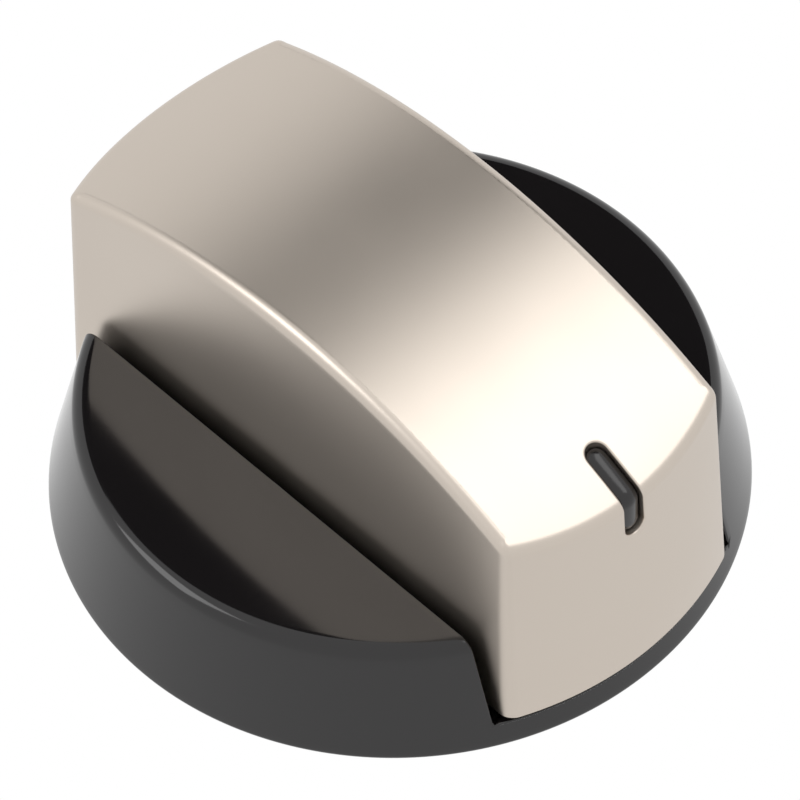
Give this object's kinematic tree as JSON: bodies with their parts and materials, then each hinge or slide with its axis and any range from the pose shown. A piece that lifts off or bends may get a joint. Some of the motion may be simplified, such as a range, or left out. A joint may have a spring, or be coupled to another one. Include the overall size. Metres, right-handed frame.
{
  "type": "appliance control knob",
  "caption": "Push-on hob or oven control knob with a round black skirt, a full-width satin silver bar grip and a black pointer wrapping over its front edge.",
  "frame": {"origin": "on the axis of the appliance's shaft, in the plane of the skirt's base edge that faces the appliance", "axes": "+Z along the shaft's axis, away from the appliance; +X along the bar, towards the pointer; the flat of the D-shaped socket is on the -X side"},
  "size_m": [0.042, 0.042, 0.0225],
  "materials": {
    "skirt_black": "gloss black ABS moulding",
    "cap_silver": "satin nickel plating on an ABS moulding",
    "pointer_black": "gloss black moulding",
    "spring_steel": "bright stainless spring strip"
  },
  "bodies": {
    "root": {"skirt_body": "skirt_black", "grip_cap": "cap_silver", "pointer_insert": "pointer_black", "shaft_spring": "spring_steel"}
  },
  "joints": []
}
